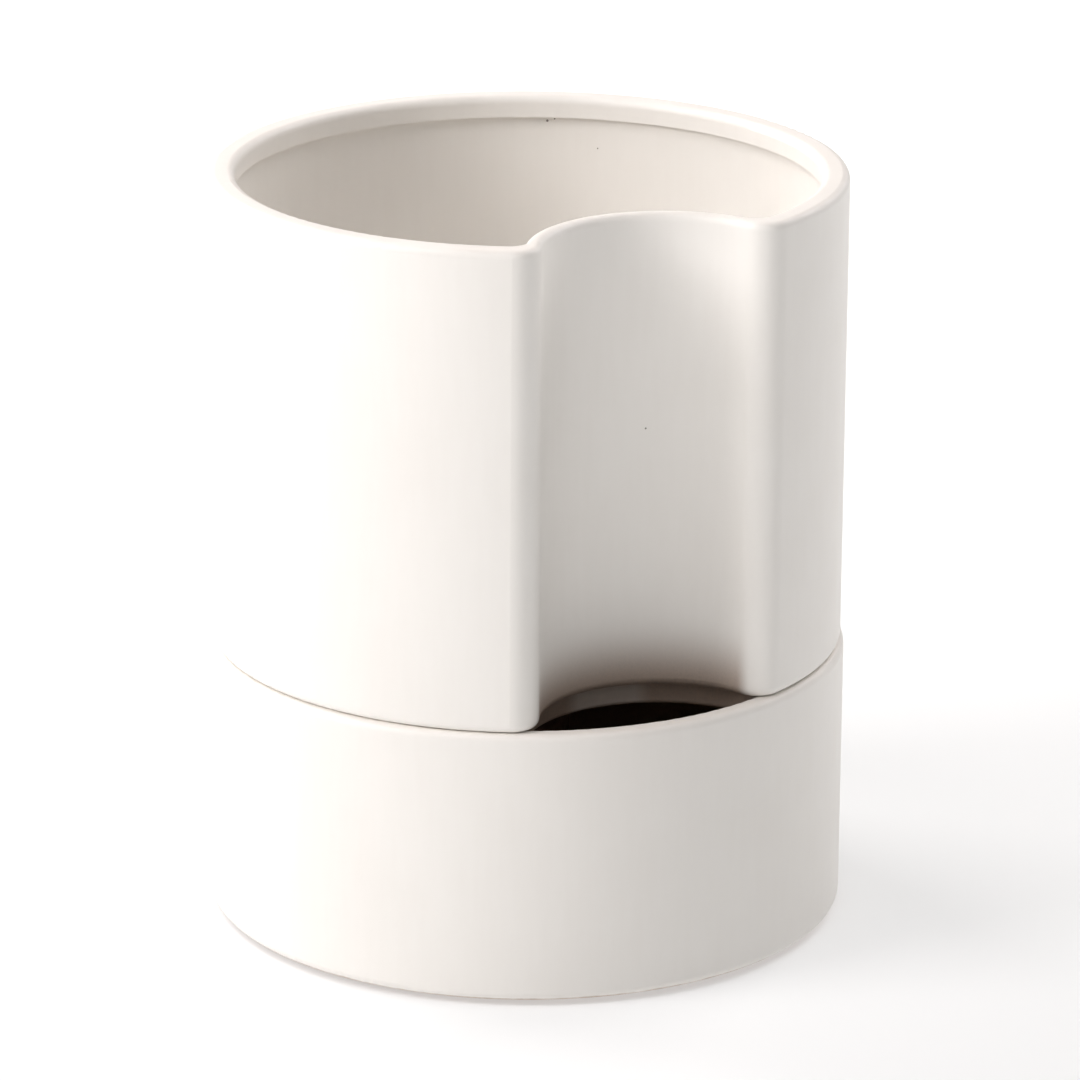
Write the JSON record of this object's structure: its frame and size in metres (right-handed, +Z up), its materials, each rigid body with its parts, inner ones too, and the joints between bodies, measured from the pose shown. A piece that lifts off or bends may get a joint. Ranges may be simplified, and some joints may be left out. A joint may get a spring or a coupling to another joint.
{
  "type": "self-watering planter",
  "caption": "Round two-piece self-watering planter: a glazed pot with a full-height fill channel down its front stands on a low water reservoir.",
  "frame": {"origin": "on the ground under the middle of the foot pads, on the drum's axis", "axes": "+Z up along the drum's axis; -Y is the front, where the fill channel opens; +X is to the right seen from the front"},
  "size_m": [0.2, 0.2, 0.2375],
  "materials": {
    "glaze": "matte, warm white; bare brown clay on the spigot, inside the reservoir and under its foot",
    "bare_clay": "unglazed, porous, dark brown",
    "mesh": "woven mesh, matte dark",
    "pad": "matte, translucent grey"
  },
  "bodies": {
    "reservoir": {"reservoir": "glaze", "foot_pads": "pad"},
    "pot": {"planter_pot": "glaze"},
    "wicking_cup": {"wicking_cup": "bare_clay"},
    "soil_screen": {"soil_screen": "mesh"}
  },
  "joints": [
    {"name": "pot_lift", "type": "slide", "parent": "reservoir", "child": "pot", "axis": [0, 0, 1], "range_m": [0, 0.12]},
    {"name": "cup_lift", "type": "slide", "parent": "pot", "child": "wicking_cup", "axis": [0, 0, 1], "range_m": [0, 0.24]},
    {"name": "screen_lift", "type": "slide", "parent": "pot", "child": "soil_screen", "axis": [0, 0, 1], "range_m": [0, 0.165]}
  ]
}
